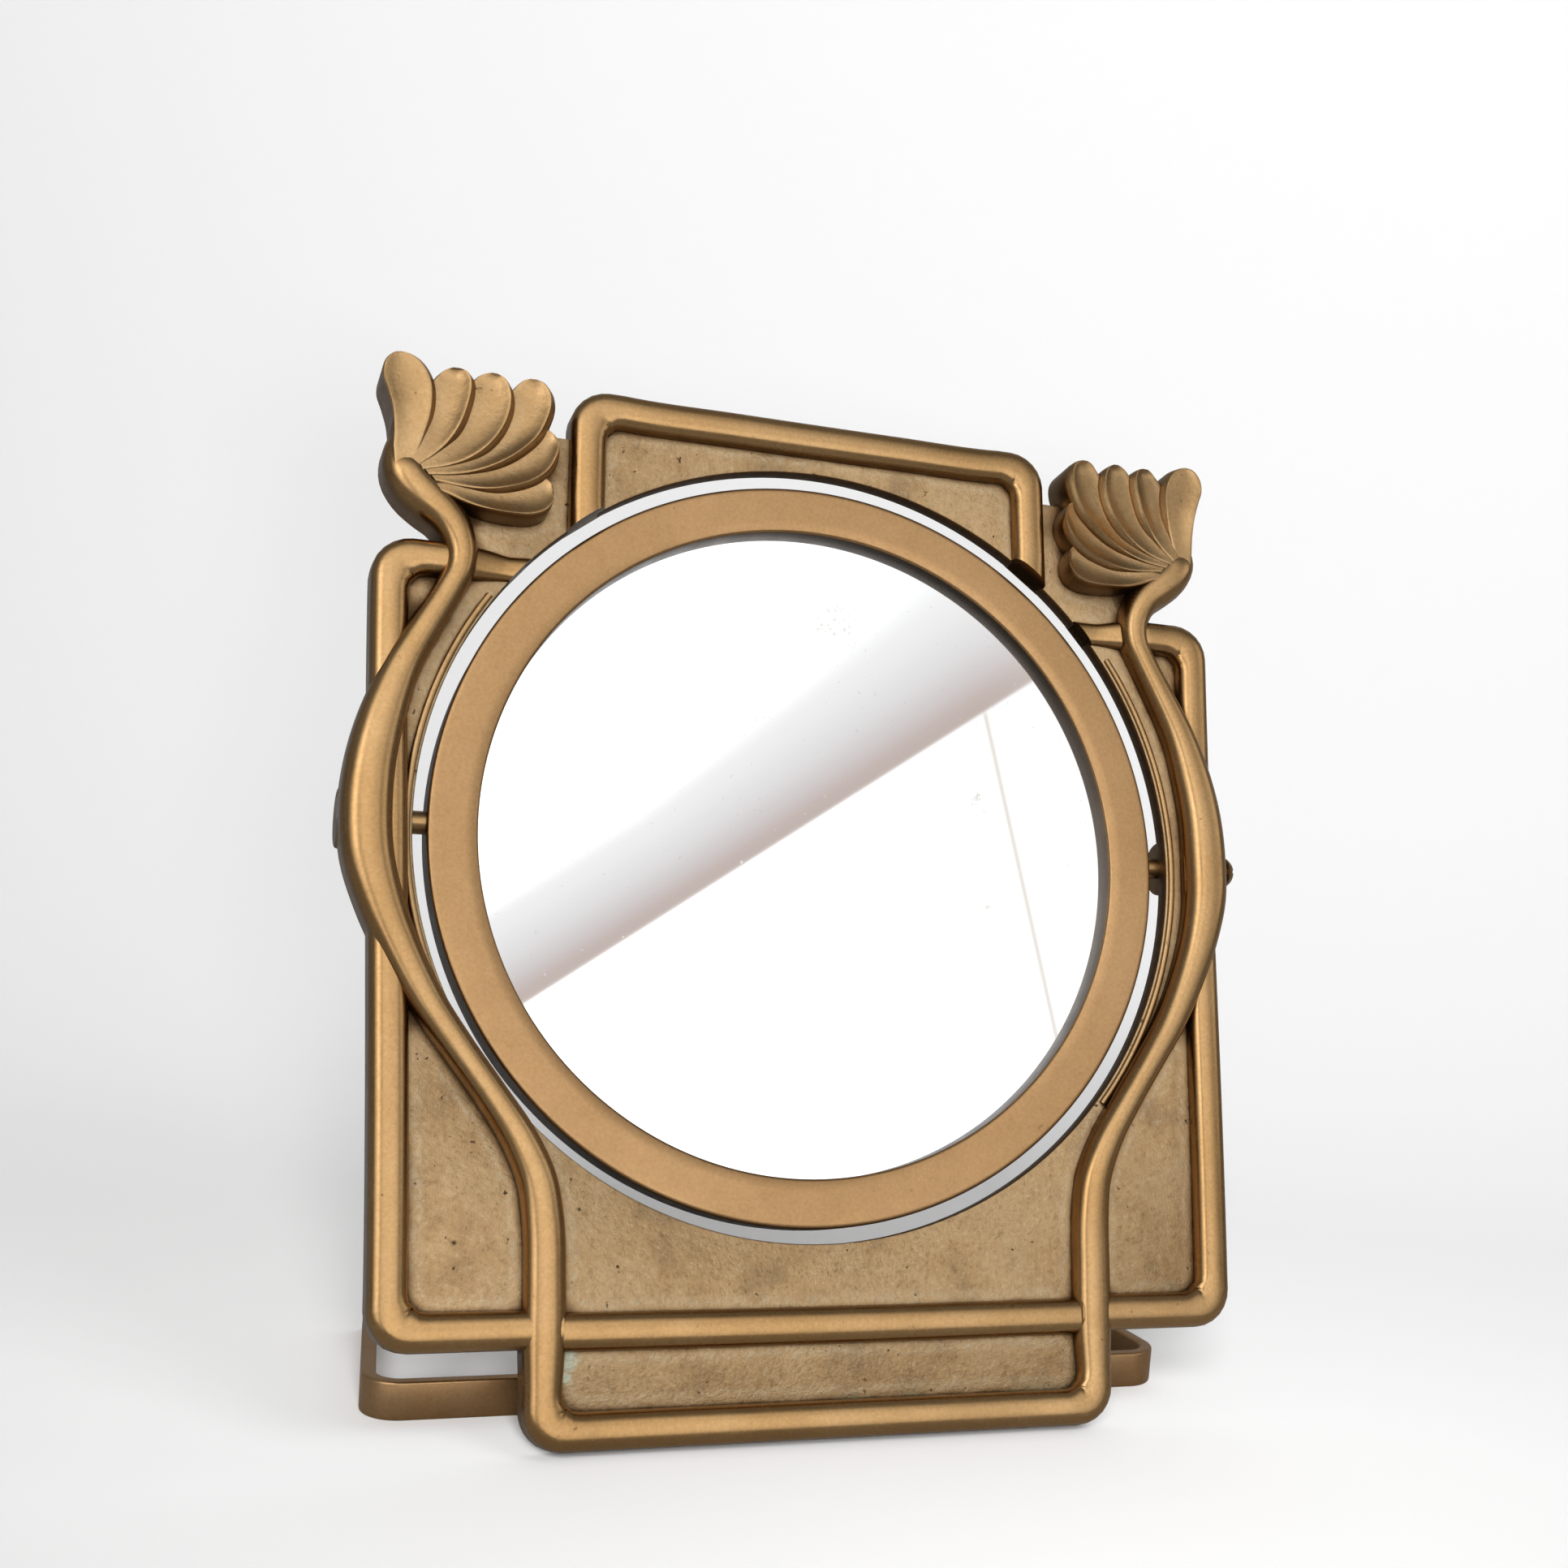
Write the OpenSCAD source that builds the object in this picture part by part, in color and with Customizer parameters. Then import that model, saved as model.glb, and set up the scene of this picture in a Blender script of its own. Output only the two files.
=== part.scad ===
// Table mirror: cast leaning frame, round tilting glass on two side pivots,
// and a bent strap base behind the foot. Millimetres, Z up, front towards -Y.

/* [Frame plate] */
// Outer width of the side frame at its top
frame_w = 202; // [185:1:220]
// How much narrower each side is at the bottom
frame_taper = 4.5; // [0:0.5:6]
// Height of the side frame's top edge above the hole centre
frame_top = 61; // [55:1:68]
// Depth of the side frame's bottom edge below the hole centre
frame_bottom = 109; // [102:1:118]
// Thickness of the cast plate
plate_t = 4.5; // [3:0.5:7]
// Radius of the half-round ribs
rib_r = 4; // [2.5:0.25:5]
// Outer radius of the frame corners
corner_r = 8.5; // [7:0.5:12]
// Lean of the whole frame back from upright, in degrees
lean = 17; // [8:1:25]

/* [Casting's own skew] */
// How far the side frame's top sits to the right of the hole's centre
side_shift = 0.9; // [0:0.1:1.5]
// How far the foot and the side frame's bottom sit to the right of it
low_shift = 2.6; // [0.4:0.2:4]

/* [Hole] */
// Radius of the round hole in the plate
hole_r = 89; // [82:0.5:92]

/* [Top bracket] */
// Outer width of the raised bracket above the mirror
bracket_w = 117; // [105:1:125]
// Height of the bracket's top edge above the hole centre
bracket_top = 101.5; // [99:0.5:108]

/* [Foot] */
// Outer width of the foot below the mirror
foot_w = 132; // [118:1:140]
// Depth of the foot's bottom edge below the hole centre
foot_bottom = 129.5; // [124:0.5:140]
// Height of the rib that crosses the foot, below the hole centre
crossbar_y = 105.3; // [103:0.5:110]

/* [Stems] */
// Radius of the round stems
stem_r = 4.4; // [3:0.2:5]
// Radius of the thick middle length of each stem
bulge_r = 5.2; // [4:0.2:6]
// Clear strip of plate between the hole and the thick length
stem_strip = 4.3; // [3:0.1:6]

/* [Flowers] */
// Distance of the longest petal's round end from the flower's heart
petal_reach = 30.5; // [27:0.5:33]
// Radius of a petal's round end
petal_r = 4.4; // [3.5:0.1:5]
// Height of the petals above the plate face
petal_h = 7.5; // [5:0.5:9]
// Depth of the hollow in each petal
petal_cup = 1.6; // [0.8:0.2:3]

/* [Mirror] */
// Gap between the bezel ring and the hole
ring_gap = 3.2; // [2.5:0.1:5]
// Width of the bezel ring's face
ring_face_w = 10.8; // [8.5:0.1:14]
// Depth of the bezel ring, front to back
ring_depth = 8; // [7.5:0.25:10]
// Thickness of the bezel ring's side wall
ring_wall = 4.5; // [4.25:0.25:6]
// Set-back of the ring's front from the plate face
ring_set = 2; // [1:0.25:3]
// Fall of the ring's face towards the glass
ring_dish = 0.4; // [0:0.1:1.6]
// Thickness of the mirror glass
glass_t = 3; // [2:0.25:4]
// Thickness of the backing card
card_t = 1; // [0.5:0.25:2]
// Thickness of the back cover
cover_t = 0.7; // [0.5:0.1:2]
// Number of small screws that hold the back cover
cover_screw_n = 6; // [3:1:8]

/* [Pivots] */
// Diameter of the pivot screw's shank
pin_d = 5; // [4.2:0.1:5.4]
// Diameter of the pivot screw's domed head
head_d = 7.6; // [6.4:0.2:10]
// Height of the pivot screw's head
head_h = 2.6; // [1.6:0.1:3.5]
// Diameter of the round boss behind each stem
boss_d = 13; // [11:0.5:15]
// How far the right pivot screw's head stands off its boss
head_off = 4; // [2:0.5:6]
// Width of the slot in the pivot screws
slot_w = 1; // [0.6:0.1:1.4]

/* [Base strap] */
// Height of the strap, on edge
band_h = 8.2; // [7.5:0.1:12]
// Thickness of the strap
band_t = 3; // [2:0.25:4]
// Outer width of the strap
band_w = 185; // [150:1:196]
// How far the hand-fitted strap sits to the right of the middle
band_shift = 1.8; // [0:0.1:5]
// Distance from the foot's edge back to the strap's front wall
band_gap = 21.5; // [17:0.5:26]
// Length of each arm, measured from the strap's front wall
band_depth = 62; // [50:1:80]
// Outer radius of the strap's bends
band_corner_r = 8; // [5:0.5:12]
// Angle that the strap's arms turn inwards, in degrees
band_toe = 6; // [0:1:10]
// Distance of each bracket from the middle
bracket_x = 28; // [20:1:40]
// Width of each sheet bracket
bracket_tab_w = 16; // [14:0.5:20]
// Diameter of the bracket screws and rivets
fixing_d = 3; // [2.5:0.1:3.4]

/* [Hidden] */
$fn = 64;

slip = 0.05;                 // radial clearance of every shank in its bore
rib_over = 0.3;              // ribs stand this far past the plate's edge
brass = "#b8925a";
brass_dark = "#7d5a33";

// plate outline and rib centre lines
arc_r = corner_r - rib_r;    // radius of a rib's centre line in a corner
top_c = [frame_w / 2 - corner_r, frame_top - corner_r];
low_c = [frame_w / 2 - frame_taper - corner_r, -(frame_bottom - corner_r)];
side_tilt = -atan2(top_c[0] - low_c[0], top_c[1] - low_c[1]);
side_n = [cos(side_tilt), sin(side_tilt)];
plate_r = corner_r - rib_over;
brk_x = bracket_w / 2;
brk_c = [brk_x - corner_r, bracket_top - corner_r];
foot_x = foot_w / 2;
foot_c = [foot_x - corner_r, -(foot_bottom - corner_r)];
foot_edge = foot_bottom - rib_over;
short_rib_y = frame_top - rib_r;

// stem centre line, right-hand side: hook, neck, bulge, shoulder, slant, hip, leg
bulge_c_r = hole_r + stem_strip + bulge_r;
bulge_top_a = 32;
bulge_low_a = -12;
shoulder_r = 62;
slant_a = -35;
hip_r = 39;
leg_x = foot_x - stem_r + rib_over;
shoulder_c = [
    (bulge_c_r - shoulder_r) * cos(bulge_low_a),
    (bulge_c_r - shoulder_r) * sin(bulge_low_a)
];
slant_p = shoulder_c + shoulder_r * [cos(slant_a), sin(slant_a)];
slant_len = (slant_p[0] - leg_x - hip_r * (1 - cos(slant_a))) / sin(-slant_a);
slant_q = slant_p + slant_len * [sin(slant_a), -cos(slant_a)];
hip_c = slant_q + hip_r * [cos(slant_a), sin(slant_a)];
neck_r = 11;
neck_c = (bulge_c_r + neck_r) * [cos(bulge_top_a), sin(bulge_top_a)];
neck_a = 125;
neck_p = neck_c + neck_r * [cos(neck_a), sin(neck_a)];
neck_dir = [sin(neck_a), -cos(neck_a)];
throat_len = 6;
throat_p = neck_p + throat_len * neck_dir;
hook_r = 6.5;
hook_c = throat_p + hook_r * [-neck_dir[1], neck_dir[0]];
hook_a0 = neck_a - 180;
hook_a1 = 60;
heart = hook_c + [3.4, 0];
stem_h = 5.6;                // height of the stems above the plate face
stem_slim = stem_r * 0.78;   // the stem's half width at its neck and slant

// petals fan from the heart, right-hand side
petal_a = [78, 106, 125, 139, 160, 184];
petal_k = [0.70, 0.70, 0.83, 1.0, 0.85, 0.78];
petal_w = [1.2, 1, 1, 1, 1, 1];

// mirror, in the plate's frame: z counts out from the plate's face
ring_r = hole_r - ring_gap;
ring_in = ring_r - ring_face_w;
well_r = ring_r - ring_wall;
ring_z0 = -ring_set;
ring_z1 = -ring_set - ring_depth;
glass_z = ring_z1 + glass_t + card_t;
glass_r = well_r - 0.3;
axis_z = ring_z0 - ring_depth / 2;
cover_r = ring_r - 0.8;
cover_hole_r = well_r + ring_wall / 2;

// pivots
pin_r = pin_d / 2;
boss_in = hole_r + 0.3;
side_edge = top_c[0] + corner_r - (top_c[0] - low_c[0]) * frame_top / (frame_top + frame_bottom);
boss_out = max(bulge_c_r + bulge_r, side_edge) + 0.3;
bore_floor = well_r + 0.9;
pin_tip = bore_floor + 0.3;

// strap and its brackets, in the world frame before the origin shift
tab_t = 1.5;
tab_z0 = band_h * 0.07;
tab_z1 = band_h;
web_z = tab_z1 - tab_t;
screw_s = foot_edge - crossbar_y;
rivet_z = (tab_z0 + web_z) / 2;
rivet_r = band_h * 0.15;
rivet_head_h = 1.1;
fix_r = fixing_d / 2;
screw_bite = 4.6;            // how deep each bracket screw goes, past its sheet
fix_dx = bracket_tab_w * 0.24;
origin_y = -(band_gap + band_t / 2);
back_n = [cos(lean), -sin(lean)];

function up(s, off = 0) = [s * sin(lean), s * cos(lean)] + off * back_n;

function behind(z) = up((z + tab_t * sin(lean)) / cos(lean), tab_t);

module on_plate() {
    translate([0, origin_y, 0])
        rotate([90 - lean, 0, 0])
        translate([0, foot_edge, plate_t])
        children();
}

module both() {
    children();
    mirror([1, 0, 0]) children();
}

// points along an arc, and the outline of a stroke of varying half width
function arc(c, r, a0, a1, n) = [
    for (i = [0:n]) c + r * [cos(a0 + (a1 - a0) * i / n), sin(a0 + (a1 - a0) * i / n)]
];

function span(w0, w1, n) = [for (i = [0:n]) w0 + (w1 - w0) * i / n];

function flip(pts) = [for (p = pts) [-p[0], p[1]]];

function back(pts) = [for (i = [len(pts) - 1:-1:0]) pts[i]];

function side(pts, i) =
    let(a = pts[max(i - 1, 0)], b = pts[min(i + 1, len(pts) - 1)], d = (b - a) / norm(b - a))
    [-d[1], d[0]];

function stroke(pts, w, k) = concat(
    [for (i = [0:len(pts) - 1]) pts[i] + k * w[i] * side(pts, i)],
    [for (i = [len(pts) - 1:-1:0]) pts[i] - k * w[i] * side(pts, i)]
);

// a round-backed rib: nested prisms, each narrower and taller
module rib(pts, w, h, z0) {
    translate([0, 0, z0]) linear_extrude(height = h * 0.48 - z0) polygon(stroke(pts, w, 1));
    translate([0, 0, z0]) linear_extrude(height = h * 0.8 - z0) polygon(stroke(pts, w, 0.83));
    translate([0, 0, z0]) linear_extrude(height = h - z0) polygon(stroke(pts, w, 0.52));
}

function rib_w(pts, w) = [for (p = pts) w];

// the skew of the side frame and of the stems at one height, and of a whole line
function side_skew(y) = y > frame_top ? 0
    : side_shift + (low_shift - side_shift) * max(0, min(1, (40 - y) / 100));

function stem_skew(y) = low_shift * max(0, min(1, -y / 90));

function side_set(pts) = [for (p = pts) [p[0] + side_skew(p[1]), p[1]]];

function stem_set(pts) = [for (p = pts) [p[0] + stem_skew(p[1]), p[1]]];

side_path = concat(
    [[hole_r * 0.72, short_rib_y]],
    arc(top_c, arc_r, 90, side_tilt, 5),
    arc(low_c, arc_r, side_tilt, -90, 5),
    [[foot_x - 6, low_c[1] - arc_r]]
);

bracket_half = concat([[brk_x - rib_r, hole_r * 0.68]], arc(brk_c, arc_r, 0, 90, 5));
bracket_path = concat(bracket_half, back(flip(bracket_half)));

foot_arc_r = corner_r - stem_r;
stem_half = concat(
    arc(hook_c, hook_r, hook_a1, hook_a0, 6),
    arc(neck_c, neck_r, neck_a, 180 + bulge_top_a, 5),
    arc([0, 0], bulge_c_r, bulge_top_a - 4, bulge_low_a, 9),
    arc(shoulder_c, shoulder_r, bulge_low_a - 6, slant_a, 3),
    arc(hip_c, hip_r, 180 + slant_a, 180, 4),
    arc([leg_x - foot_arc_r, -(foot_bottom - corner_r)], foot_arc_r, 0, -90, 5)
);
stem_w_half = concat(
    span(stem_r * 1.1, stem_r, 6),
    span(stem_r * 0.95, stem_slim, 5),
    [for (i = [0:9]) stem_slim + (bulge_r - stem_slim) * sin(30 + 120 * min(1, i / 8))],
    span(stem_r * 0.95, stem_slim, 3),
    span(stem_slim, stem_r, 4),
    span(stem_r, rib_r, 5)
);
stem_path = stem_set(concat(stem_half, back(flip(stem_half))));
stem_w = concat(stem_w_half, back(stem_w_half));

module side_ribs() {
    rib(side_set(side_path), rib_w(side_path, rib_r), rib_r, -3);
    rib(side_set(flip(side_path)), rib_w(side_path, rib_r), rib_r, -3);
}

module bracket_ribs() {
    rib(bracket_path, rib_w(bracket_path, rib_r), rib_r - 0.1, -2.8);
}

module foot_ribs() {
    bar = side_set([[-leg_x, -crossbar_y], [leg_x, -crossbar_y]]);
    rib(bar, [rib_r, rib_r], rib_r - 0.2, -2.6);
}

module stems() {
    rib(stem_path, stem_w, stem_h, 0.3 - plate_t);
}

plate_half = concat(
    [[0, bracket_top - rib_over]],
    back(arc(brk_c, plate_r, 0, 90, 6)),
    [
        [brk_x - rib_over, neck_c[1] + 31.5], [brk_x + 8, neck_c[1] + 31.5],
        heart + [-3, 1], throat_p, neck_p + [-1, -1], neck_p + [0, -2.5]
    ],
    back(arc(top_c, plate_r, side_tilt, 90, 6)),
    back(arc(low_c, plate_r, -90, side_tilt, 6)),
    [[foot_x - rib_over, low_c[1] - plate_r]],
    back(arc(foot_c, plate_r, -90, 0, 6))
);

module plate_2d() {
    difference() {
        polygon(side_set(concat(plate_half, back(flip(plate_half)))));
        circle(r = hole_r);
    }
}

function petal(len, r, start) = concat(
    [[start, -r * 0.4]],
    arc([len, 0], r, -75, 75, 8),
    [[start, r * 0.4]]
);

module flower() {
    difference() {
        translate([heart[0], heart[1], 0.5 - plate_t])
            linear_extrude(height = petal_h + plate_t - 0.5)
            union() {
                for (i = [0:5])
                    rotate(petal_a[i])
                    polygon(petal(petal_k[i] * petal_reach, petal_r * petal_w[i], 0));
            }
        translate([heart[0], heart[1], petal_h - petal_cup])
            linear_extrude(height = petal_cup + 1)
            union() {
                for (i = [0:5])
                    rotate(petal_a[i])
                    polygon(petal(petal_k[i] * petal_reach, petal_r - 1.4, petal_reach * 0.42));
            }
    }
    translate([heart[0], heart[1], 2.2]) sphere(r = stem_r + 1.2);
}

module pivot_bore_cut(x0, x1, r) {
    translate([x0, 0, axis_z]) rotate([0, 90, 0]) cylinder(r = r, h = x1 - x0);
}

module frame_casting() {
    color(brass)
    on_plate()
    difference() {
        union() {
            translate([0, 0, -plate_t]) linear_extrude(height = plate_t) plate_2d();
            difference() {
                union() {
                    side_ribs();
                    bracket_ribs();
                    foot_ribs();
                    stems();
                    both() flower();
                }
                translate([0, 0, -20]) cylinder(r = hole_r, h = 40);
            }
            both() pivot_bore_cut(boss_in, boss_out, boss_d / 2);
        }
        both() pivot_bore_cut(boss_in - 5, boss_out + 5, pin_r + slip);
        for (x = [-1, 1])
            for (d = [-fix_dx, fix_dx])
                translate([x * bracket_x + d, -crossbar_y, -plate_t - 1])
                cylinder(r = fix_r + slip, h = screw_bite + 1.2);
    }
}

module bezel_ring() {
    color("#c39b69")
    on_plate()
    difference() {
        rotate_extrude()
            polygon([
                [ring_in, ring_z0 - ring_dish], [ring_r - 0.8, ring_z0],
                [ring_r, ring_z0 - 0.8], [ring_r, ring_z1],
                [well_r, ring_z1], [well_r, glass_z], [ring_in, glass_z]
            ]);
        both() pivot_bore_cut(bore_floor, ring_r + 2, pin_r + slip);
        for (i = [0:cover_screw_n - 1])
            rotate(360 / cover_screw_n * (i + 0.5))
            translate([cover_hole_r, 0, ring_z1 - 1])
            cylinder(r = 0.8 + slip, h = 3.2);
    }
}

module mirror_glass() {
    color("#dfe6ee")
    on_plate()
    translate([0, 0, glass_z - glass_t])
        cylinder(r = glass_r, h = glass_t, $fn = 128);
}

module backing_card() {
    color("#5b4b3c")
    on_plate()
    translate([0, 0, ring_z1])
        cylinder(r = glass_r, h = card_t, $fn = 128);
}

module back_cover() {
    color(brass_dark)
    on_plate()
    difference() {
        translate([0, 0, ring_z1 - cover_t])
            cylinder(r = cover_r, h = cover_t, $fn = 128);
        for (i = [0:cover_screw_n - 1])
            rotate(360 / cover_screw_n * (i + 0.5))
            translate([cover_hole_r, 0, ring_z1 - cover_t - 1])
            cylinder(r = 0.8 + slip, h = cover_t + 2);
    }
}

module cover_screws() {
    color(brass)
    on_plate()
    for (i = [0:cover_screw_n - 1])
        rotate(360 / cover_screw_n * (i + 0.5))
        translate([cover_hole_r, 0, ring_z1 - cover_t]) {
            cylinder(r = 0.8, h = cover_t + 2);
            difference() {
                translate([0, 0, -0.8]) cylinder(r = 1.5, h = 0.8);
                translate([-2, -0.2, -1.2]) cube([4, 0.4, 0.7]);
            }
        }
}

// shank in the boss and the ring, from its tip to x = far
module pivot_shank(far) {
    translate([pin_tip, 0, axis_z])
        rotate([0, 90, 0])
        cylinder(r = pin_r, h = far - pin_tip);
}

// screwdriver slot across an end at x = far, seen from the front as a notch
module pivot_slot(far, deep) {
    translate([far - deep, -slot_w / 2, axis_z - head_d])
        cube([deep + 1, slot_w, 2 * head_d]);
}

// backed out a little: the domed head stands off the boss
module pivot_screw_right() {
    dome_r = (head_d * head_d / 4 + head_h * head_h) / (2 * head_h);
    foot = boss_out + head_off;
    color(brass)
    on_plate() {
        difference() {
            union() {
                pivot_shank(foot + head_h * 0.3);
                translate([foot, 0, axis_z])
                    rotate([0, 90, 0])
                    rotate_extrude()
                    intersection() {
                        translate([0, head_h - dome_r]) circle(r = dome_r);
                        square([head_d / 2 + 1, head_h + 1]);
                    }
            }
            pivot_slot(foot + head_h, head_h * 0.5);
        }
    }
}

// headless: its slotted end is flush in the boss
module pivot_screw_left() {
    color(brass)
    on_plate()
    mirror([1, 0, 0])
    difference() {
        pivot_shank(boss_out - 0.4);
        pivot_slot(boss_out - 0.4, 1.2);
    }
}

// plan outline of the strap: a U, open to the rear, its arms turned in
function strap_end(c, r, a, len) = c + r * [cos(a), sin(a)] + len * [-sin(a), cos(a)];

function strap_side(r) =
    let(
        c = [band_w / 2 - band_corner_r, band_gap + band_corner_r],
        y_end = band_depth - band_corner_r * (1 + sin(band_toe))
    )
    concat(arc(c, r, 270, 360 + band_toe, 8), [strap_end(c, r, band_toe, y_end / cos(band_toe))]);

module base_strap() {
    outer = strap_side(band_corner_r);
    inner = strap_side(band_corner_r - band_t);
    color(brass_dark)
    translate([0, origin_y, 0])
    difference() {
        translate([band_shift, 0, 0])
            linear_extrude(height = band_h)
            polygon(concat(back(flip(outer)), outer, back(inner), flip(inner)));
        for (x = [-1, 1])
            for (d = [-fix_dx, fix_dx])
                translate([x * bracket_x + d, band_gap - 1, rivet_z])
                rotate([-90, 0, 0])
                cylinder(r = rivet_r + slip, h = band_t + 2);
    }
}

// bent sheet: flange on the plate's back, flat web, flange on the strap
module strap_bracket(x) {
    s0 = web_z / cos(lean) - tab_t;
    s1 = screw_s + fix_r * 3.3;
    translate([0, origin_y, 0])
    difference() {
        translate([x - bracket_tab_w / 2, 0, 0])
            rotate([90, 0, 90])
            linear_extrude(height = bracket_tab_w)
            polygon([
                up(s0), up(s1), up(s1, tab_t), behind(tab_z1),
                [band_gap, tab_z1], [band_gap, tab_z0],
                [band_gap - tab_t, tab_z0], [band_gap - tab_t, web_z],
                behind(web_z), up(s0, tab_t)
            ]);
        for (d = [-fix_dx, fix_dx]) {
            translate([x + d, band_gap - tab_t - 1, rivet_z])
                rotate([-90, 0, 0])
                cylinder(r = rivet_r + slip, h = tab_t + 2);
            translate([x + d, up(screw_s, -1)[0], up(screw_s, -1)[1]])
                rotate([-90 - lean, 0, 0])
                cylinder(r = fix_r + slip, h = tab_t + 2);
        }
    }
}

module strap_bracket_left() {
    color(brass_dark) strap_bracket(-bracket_x);
}

module strap_bracket_right() {
    color(brass_dark) strap_bracket(bracket_x);
}

module bracket_screws() {
    color(brass)
    on_plate()
    for (x = [-1, 1])
        for (d = [-fix_dx, fix_dx])
            translate([x * bracket_x + d, -crossbar_y, -plate_t - tab_t]) {
                cylinder(r = fix_r, h = tab_t + screw_bite);
                difference() {
                    translate([0, 0, -fix_r * 1.2]) cylinder(r = fix_r * 1.9, h = fix_r * 1.2);
                    translate([-fix_r * 2.5, -fix_r * 0.27, -fix_r * 1.5])
                        cube([fix_r * 5, fix_r * 0.54, fix_r * 0.95]);
                }
            }
}

module strap_rivets() {
    color(brass)
    translate([0, origin_y, 0])
    for (x = [-1, 1])
        for (d = [-fix_dx, fix_dx])
            translate([x * bracket_x + d, band_gap - tab_t, rivet_z])
            rotate([-90, 0, 0]) {
                cylinder(r = rivet_r, h = tab_t + band_t);
                translate([0, 0, -rivet_head_h]) cylinder(r = rivet_r * 1.8, h = rivet_head_h);
                translate([0, 0, tab_t + band_t]) cylinder(r = rivet_r * 1.8, h = rivet_head_h);
            }
}

frame_casting();
bezel_ring();
mirror_glass();
backing_card();
back_cover();
cover_screws();
pivot_screw_left();
pivot_screw_right();
base_strap();
strap_bracket_left();
strap_bracket_right();
bracket_screws();
strap_rivets();
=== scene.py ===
"""Looks for the cast brass table mirror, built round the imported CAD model.

Shapes are drawn in the plate's own frame, in millimetres: x to the right, y up
the plate from the middle of the hole, z out of the plate's front face.
"""

import math

import bmesh
import bpy
from mathutils import Euler, Matrix, Vector


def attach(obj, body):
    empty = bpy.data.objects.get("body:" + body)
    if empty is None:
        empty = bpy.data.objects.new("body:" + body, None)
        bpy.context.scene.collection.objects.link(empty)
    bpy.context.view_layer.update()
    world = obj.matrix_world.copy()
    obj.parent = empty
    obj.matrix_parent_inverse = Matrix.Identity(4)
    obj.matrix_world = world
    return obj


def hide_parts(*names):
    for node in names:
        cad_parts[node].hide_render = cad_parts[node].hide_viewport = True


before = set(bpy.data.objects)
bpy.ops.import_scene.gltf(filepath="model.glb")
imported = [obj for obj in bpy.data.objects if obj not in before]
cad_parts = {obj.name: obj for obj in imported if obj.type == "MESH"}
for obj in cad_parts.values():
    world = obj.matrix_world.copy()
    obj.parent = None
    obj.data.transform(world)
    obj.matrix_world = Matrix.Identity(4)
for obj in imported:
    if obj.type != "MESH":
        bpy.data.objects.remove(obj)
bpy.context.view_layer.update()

MM = 0.001
# The plate: how far it leans back, from the hole's centre down to the foot's
# lower edge, its thickness, and where its lower back edge stands.
LEAN = math.radians(17)
FOOT_EDGE = 129.2
PLATE_T = 4.5
ORIGIN_Y = -23.0
HOLE_R = 89.0
# The casting's skew to the right: at the side frame's top, and at the foot.
SIDE_SHIFT, LOW_SHIFT = 0.9, 2.6
SHOULDER_CENTRE = (92.4, 52.4)
LOW_CORNER_CENTRE = (87.9, -100.3)
# Ribs and petals are set into the plate down to this height.
SET_IN_Z = -4.3
# The pivots' line lies this far behind the plate's face.
PIVOT_Z = -6.0
BOSS_R, BOSS_LENGTH, BOSS_MIDDLE_X = 6.5, 14.5, 96.7
LIP_FROM_HOLE, LIP_HALF_W, LIP_HEIGHT = 1.3, 0.75, 0.75
GLASS_Z = -6.0
PLATE_NORMAL = Vector((0, -math.cos(LEAN), math.sin(LEAN)))


def plate_matrix():
    """From plate millimetres to metres in the model's frame."""
    up = Vector((0, math.sin(LEAN), math.cos(LEAN)))
    start = Vector((0, ORIGIN_Y, 0)) + up * FOOT_EDGE + PLATE_NORMAL * PLATE_T
    turn = Matrix((
        (1, 0, 0, start.x),
        (0, up.y, PLATE_NORMAL.y, start.y),
        (0, up.z, PLATE_NORMAL.z, start.z),
        (0, 0, 0, 1),
    ))
    return Matrix.Scale(MM, 4) @ turn


PLATE = plate_matrix()
WORLD_MM = Matrix.Scale(MM, 4)


# Outlines.
def arc(cx, cy, r, a0, a1, steps):
    """Points round a centre, from one angle in degrees to another."""
    out = []
    for i in range(steps + 1):
        a = math.radians(a0 + (a1 - a0) * i / steps)
        out.append((cx + r * math.cos(a), cy + r * math.sin(a)))
    return out


def flip(points):
    """The mirror image, in the opposite order, so inner sides stay inner."""
    return [(-p[0],) + tuple(p[1:]) for p in reversed(points)]


def side_skew(y):
    """How far the side frame sits to the right of the hole's centre, at a height."""
    if y > 61:
        return 0.0
    return SIDE_SHIFT + (LOW_SHIFT - SIDE_SHIFT) * min(max((40 - y) / 100, 0), 1)


def stem_skew(y):
    """How far the stems sit to the right at a height. They start straight."""
    return LOW_SHIFT * min(max(-y / 90, 0), 1)


def skewed(points, skew):
    """The points, each moved to the right by what its height asks for."""
    return [(p[0] + skew(p[1]),) + tuple(p[1:]) for p in points]


def bend(cx, cy, r, a0, a1, half, height, inner, steps=6):
    """A rib's bend, with a short straight at each end. The rib is wider on its
    inner side there, which rounds the panel's corner."""
    way = math.copysign(1, a1 - a0)

    def straight(a, reaches):
        x, y = arc(cx, cy, r, a, a, 1)[0]
        a = math.radians(a)
        return [(x - math.sin(a) * way * reach, y + math.cos(a) * way * reach,
                 half, height, inner * part) for reach, part in reaches]

    turn = []
    for i, p in enumerate(arc(cx, cy, r, a0, a1, steps)):
        turn.append(p + (half, height, inner * (1 - 0.27 * math.sin(math.pi * i / steps))))
    return (straight(a0, ((-3.0, 0.0), (-1.4, 0.22))) + turn
            + straight(a1, ((1.4, 0.22), (3.0, 0.0))))


def run(a, b, inset=3.0):
    """Two points close to the ends of a straight run, which keep it straight."""
    a, b = Vector(a[:2]), Vector(b[:2])
    d = (b - a).normalized() * inset
    return [tuple(a + d), tuple(b - d)]


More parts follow.
